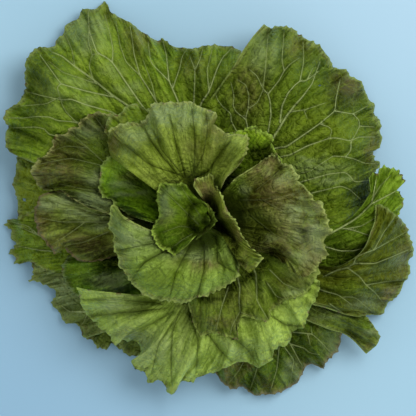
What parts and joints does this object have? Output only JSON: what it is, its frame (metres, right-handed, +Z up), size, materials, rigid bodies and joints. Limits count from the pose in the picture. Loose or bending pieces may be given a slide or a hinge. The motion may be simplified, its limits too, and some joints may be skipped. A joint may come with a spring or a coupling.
{
  "type": "loose-leaf lettuce head",
  "caption": "Loose-leaf lettuce head, opened out on its cut stem, with broad frilled green leaves tinged bronze.",
  "frame": {"origin": "middle of the stem's flat cut end, where it rests on the surface", "axes": "+Z up along the stem, +Y towards the head's back (the side with the two very large outer leaves), +X to its right"},
  "size_m": [0.3159, 0.3045, 0.1065],
  "materials": {
    "stem": "satin",
    "under_leaf_front_left": "satin",
    "under_leaf_front": "satin",
    "outer_leaf_front_left": "satin",
    "outer_leaf_left": "satin",
    "outer_leaf_left_front": "satin",
    "outer_leaf_back_left": "satin",
    "outer_leaf_back_right": "satin",
    "outer_leaf_front_right": "satin",
    "outer_leaf_front_right_curled": "satin",
    "outer_leaf_right": "satin",
    "outer_leaf_right_front": "satin",
    "mid_leaf_front_left": "satin",
    "mid_leaf_front": "satin",
    "mid_leaf_left": "satin",
    "mid_leaf_left_back": "satin",
    "mid_leaf_back": "satin",
    "mid_leaf_front_right": "satin",
    "inner_leaf_back_right": "satin",
    "inner_leaf_right": "satin",
    "inner_leaf_left_back": "satin",
    "inner_leaf_back": "satin",
    "inner_leaf_front": "satin",
    "heart_leaf_right": "satin",
    "heart_leaf_centre": "satin",
    "heart_leaf_left": "satin"
  },
  "bodies": {
    "root": {"stem": "stem", "under_leaf_front_left": "under_leaf_front_left", "under_leaf_front": "under_leaf_front", "outer_leaf_front_left": "outer_leaf_front_left", "outer_leaf_left": "outer_leaf_left", "outer_leaf_left_front": "outer_leaf_left_front", "outer_leaf_back_left": "outer_leaf_back_left", "outer_leaf_back_right": "outer_leaf_back_right", "outer_leaf_front_right": "outer_leaf_front_right", "outer_leaf_front_right_curled": "outer_leaf_front_right_curled", "outer_leaf_right": "outer_leaf_right", "outer_leaf_right_front": "outer_leaf_right_front", "mid_leaf_front_left": "mid_leaf_front_left", "mid_leaf_front": "mid_leaf_front", "mid_leaf_left": "mid_leaf_left", "mid_leaf_left_back": "mid_leaf_left_back", "mid_leaf_back": "mid_leaf_back", "mid_leaf_front_right": "mid_leaf_front_right", "inner_leaf_back_right": "inner_leaf_back_right", "inner_leaf_right": "inner_leaf_right", "inner_leaf_left_back": "inner_leaf_left_back", "inner_leaf_back": "inner_leaf_back", "inner_leaf_front": "inner_leaf_front", "heart_leaf_right": "heart_leaf_right", "heart_leaf_centre": "heart_leaf_centre", "heart_leaf_left": "heart_leaf_left"}
  },
  "joints": []
}
